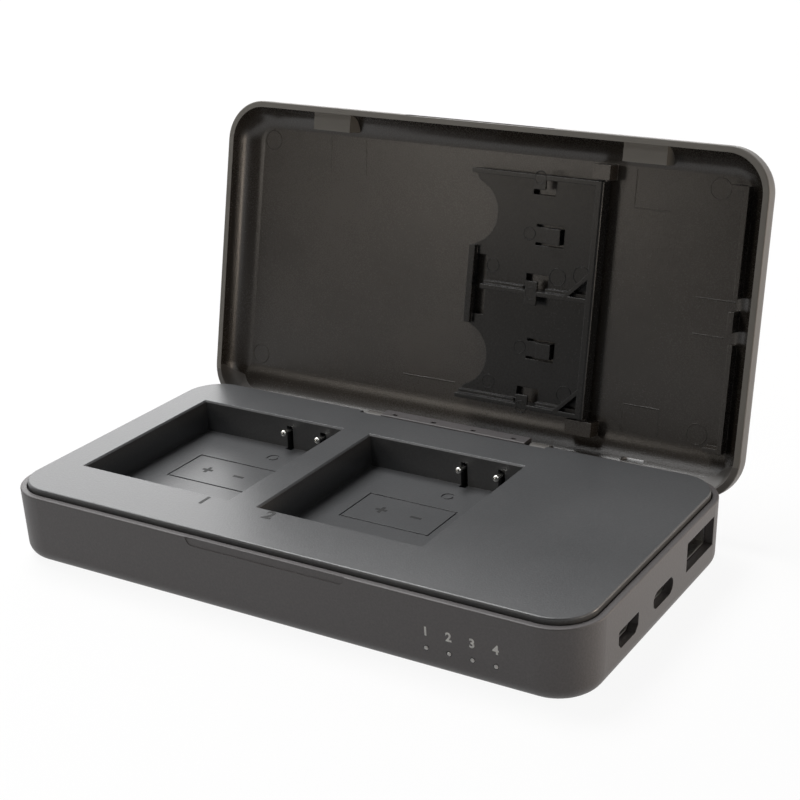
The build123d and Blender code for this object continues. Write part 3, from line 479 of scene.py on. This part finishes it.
# Ejector pin marks on the card holder: on each tab, at the root of each spring finger, and on its plate.
# They are round rims of the moulding itself. Sizes are in mm from the middle of the pivot's line.
holder_pivot = Vector((29.3, 34.25, -7.9)) * MM
holder_place = lid_place @ Matrix.Translation(holder_pivot)
plate_top = 1.2
tab_top = 4.0
holder_pins = ((-14.0, 25.2, tab_top, 1.35), (-14.0, 0.0, tab_top, 1.35), (-14.0, -25.2, tab_top, 1.35),
               (-16.9, 12.6, plate_top, 1.4), (-16.9, -12.6, plate_top, 1.4),
               (-9.2, 3.9, plate_top, 1.9), (-3.6, 5.0, plate_top, 1.9), (-25.2, 4.6, plate_top, 1.5),
               (-5.2, -21.4, plate_top, 1.75), (-24.0, -21.4, plate_top, 1.5))
holder_marks = bmesh.new()
for pin_x, pin_along, pin_level, pin_radius in holder_pins:
    pin_ring(holder_marks, pin_x, pin_along, pin_level, pin_radius)
bmesh.ops.recalc_face_normals(holder_marks, faces=holder_marks.faces)
bmesh.ops.transform(holder_marks, verts=holder_marks.verts, matrix=holder_place)
add_piece("holder_mould_marks", finished_mesh("holder_mould_marks", holder_marks), holder_plastic,
          "holder")


# Numbers and signs: white numbers above the lamps, dark ones on the deck at each bay's front corner.
# Plus and minus signs stand in the frames on the bays' floors.
# All are pad-printed: a film of dry ink with hardly any thickness.
def ink(name, dark, light, rough):
    """Dry ink: patchy in colour and gloss."""
    material, shader, tree = new_finish(name, {"Specular IOR Level": 0.3})
    place = tree.node("ShaderNodeTexCoord", out="Object")
    patches_per_metre = 4000.0
    patch_gloss = 0.2
    patch = tree.node("ShaderNodeTexNoise",
                      sockets={"Vector": place, "Scale": patches_per_metre, "Detail": 2.0})
    feed(shader, Base_Color=patch.two_tone(patch_stops, dark, light), Roughness=patch * patch_gloss + rough)
    return material


ink_thickness = 0.004
ink_boldness = 0.032
ink_lift_mm = 0.01


def print_sign(name, sign, height_mm, place, finish, body):
    """Print one sign, centred on a place: text made a mesh, scaled to its height, then put in its place."""
    letters = bpy.data.curves.new(name, "FONT")
    letters.body = sign
    letters.align_x = "CENTER"
    letters.align_y = "CENTER"
    letters.extrude = ink_thickness
    letters.offset = ink_boldness
    drawing = bpy.data.objects.new(name + "_drawing", letters)
    bpy.context.scene.collection.objects.link(drawing)
    bpy.context.view_layer.update()
    mesh = bpy.data.meshes.new_from_object(drawing)
    bpy.data.objects.remove(drawing)
    points = list(zip(*[corner.co for corner in mesh.vertices]))
    middle = (Vector(map(min, points)) + Vector(map(max, points))) / 2
    mesh.transform(place @ Matrix.Scale(height_mm * MM, 4) @ Matrix.Translation(-middle))
    mesh.name = name
    add_piece(name, mesh, finish, body)


white_ink = ink("white_ink", dark=(0.92, 0.92, 0.90), light=(0.98, 0.98, 0.96), rough=0.5)
dark_ink = ink("dark_ink", dark=(0.018, 0.018, 0.018), light=(0.03, 0.03, 0.03), rough=0.5)
wall_lean = radians(2.23)
wall_up = Vector((0, -sin(wall_lean), cos(wall_lean)))
wall_out = Vector((0, -cos(wall_lean), -sin(wall_lean)))
wall_turn = Matrix(((1, 0, 0), wall_up, wall_out)).transposed()
front_wall_y = -34.84
lamp_number_z = 8.65
lamp_number_height = 2.5
for number in lamp_numbers:
    pipe_low, pipe_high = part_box(f"light_pipe_{number}")
    number_x = (pipe_low[0] + pipe_high[0]) / 2
    number_place = Vector((number_x, front_wall_y * MM, lamp_number_z * MM)) + wall_out * ink_lift_mm * MM
    print_sign(f"lamp_number_{number}", str(number), lamp_number_height,
               Matrix.LocRotScale(number_place, wall_turn, None), white_ink, "base")

deck_top = 16.6
bay_number_height = 4.4
for number, number_x, number_y in ((1, -23.8, -21.9), (2, -7.9, -21.6)):
    number_place = Vector((number_x, number_y, deck_top + ink_lift_mm)) * MM
    print_sign(f"bay_number_{number}", str(number), bay_number_height, Matrix.Translation(number_place),
               dark_ink, "base")

bay_floor = 9.2
sign_height = 5.0
sign_spread = 4.2
label_from_bay_right = 30.4
label_half = 10.8
label_y = 3.5
for bay, bay_right in ((1, -19.6), (2, 25.8)):
    label_x = bay_right - label_from_bay_right + label_half
    for side, sign, sign_name in ((-1, "+", "plus"), (1, "\u2212", "minus")):
        sign_place = Vector((label_x + side * sign_spread, label_y, bay_floor + ink_lift_mm)) * MM
        print_sign(f"bay_{bay}_{sign_name}", sign, sign_height, Matrix.Translation(sign_place),
                   dark_ink, "base")


# Floor and room: a plain white table in a pale room, not part of the charger.
# Seen directly, mirrored or through clear plastic, they are white. To other rays they are dim, so that they
# put little light on the charger, and the floor keeps its shadow.
def seen_rays(tree):
    """1 for rays of the camera, of gloss and through clear pieces."""
    return (tree.node("ShaderNodeLightPath", out="Is Camera Ray")
            + tree.node("ShaderNodeLightPath", out="Is Glossy Ray")
            + tree.node("ShaderNodeLightPath", out="Is Transmission Ray"))


def add_stage(name, form, paint):
    """Make a stage object of a form."""
    mesh = finished_mesh(name, form)
    mesh.materials.append(paint)
    stage = bpy.data.objects.new(name, mesh)
    bpy.context.scene.collection.objects.link(stage)
    return stage


floor_half_size = 4.0
floor_seen_white = 0.92
floor_dim = (0.35, 0.35, 0.35, 1)
floor_pale = (0.97, 0.97, 0.97, 1)
white = (1.0, 1.0, 1.0, 1)
floor_paint, floor_shader, floor_tree = new_finish("floor_paint", {"Roughness": 0.9,
                                                                   "Specular IOR Level": 0.1})
floor_seen = seen_rays(floor_tree)
feed(floor_shader, Base_Color=floor_seen.mix(floor_dim, floor_pale))
floor_white = floor_tree.node("ShaderNodeEmission", sockets={"Color": white, "Strength": 1.0})
floor_diffuse = Tone(floor_paint.node_tree, floor_shader.outputs[0])
floor_mix = floor_tree.node("ShaderNodeMixShader", sockets={"Fac": floor_seen * floor_seen_white,
                                                            1: floor_diffuse, 2: floor_white})
floor_output = floor_paint.node_tree.nodes["Material Output"]
floor_paint.node_tree.links.new(floor_mix.socket, floor_output.inputs["Surface"])
floor_form = bmesh.new()
bmesh.ops.create_grid(floor_form, x_segments=1, y_segments=1, size=floor_half_size)
add_stage("floor", floor_form, floor_paint)

room_dim = 0.05
room = bpy.data.worlds.new("room")
room.use_nodes = True
bpy.context.scene.world = room
room_light = room.node_tree.nodes["Background"]
room_light.inputs["Color"].default_value = white
room_strength = seen_rays(Tone(room.node_tree)) * (1 - room_dim) + room_dim
room.node_tree.links.new(room_strength.socket, room_light.inputs["Strength"])


# Lamps: a broad soft box above and to the left, and a large window behind on the left.
# Low warm lamps at the right light the wall of the sockets and leave the bays dark.
# Two small ones in front give the gleam on the contacts and in the lid.
def soft_lamp(name, place_mm, aim_mm, size_mm, watts, tint=(1.0, 1.0, 1.0)):
    """A square soft box that looks at a point."""
    data = bpy.data.lights.new(name, "AREA")
    data.color = tint
    data.size = size_mm * MM
    data.energy = watts
    lamp = bpy.data.objects.new(name, data)
    lamp.location = Vector(place_mm) * MM
    aim = Vector(aim_mm) * MM - lamp.location
    lamp.rotation_euler = aim.to_track_quat("-Z", "Y").to_euler()
    bpy.context.scene.collection.objects.link(lamp)


warm = (1.0, 0.84, 0.68)
cream = (1.0, 0.92, 0.82)
soft_lamp("ceiling_lamp", place_mm=(-330, 120, 700), aim_mm=(-20, 10, 20), size_mm=400, watts=5.7)
soft_lamp("window_lamp", place_mm=(-450, 650, 300), aim_mm=(-30, 0, 20), size_mm=700, watts=3.2)
soft_lamp("warm_side_lamp", place_mm=(547, 370, 42), aim_mm=(67, 0, 12), size_mm=80, watts=1.4, tint=warm)
soft_lamp("right_lamp", place_mm=(620, -60, 42), aim_mm=(0, 40, 40), size_mm=80, watts=0.45, tint=warm)
soft_lamp("glint_lamp", place_mm=(-200, -330, 600), aim_mm=(10, 20, 20), size_mm=160, watts=0.4)
soft_lamp("front_lamp", place_mm=(-420, -740, 262), aim_mm=(0, 45, 60), size_mm=220, watts=0.6, tint=cream)

# Dark cloth: it hangs in front of the table, out of the camera's sight.
# It is what the lid's inside mirrors, which keeps that from going pale.
cloth_half_size = 1.6
cloth_middle = (-0.3, -0.9, 1.65)
cloth_paint, *_ = new_finish("cloth_paint", {"Base Color": (0.02, 0.02, 0.02, 1), "Roughness": 0.9,
                                             "Specular IOR Level": 0.1})
cloth_form = bmesh.new()
bmesh.ops.create_grid(cloth_form, x_segments=1, y_segments=1, size=cloth_half_size)
bmesh.ops.rotate(cloth_form, verts=cloth_form.verts, matrix=Matrix.Rotation(radians(90), 3, "X"))
bmesh.ops.translate(cloth_form, verts=cloth_form.verts, vec=cloth_middle)
cloth = add_stage("dark_cloth", cloth_form, cloth_paint)
cloth.visible_camera = False
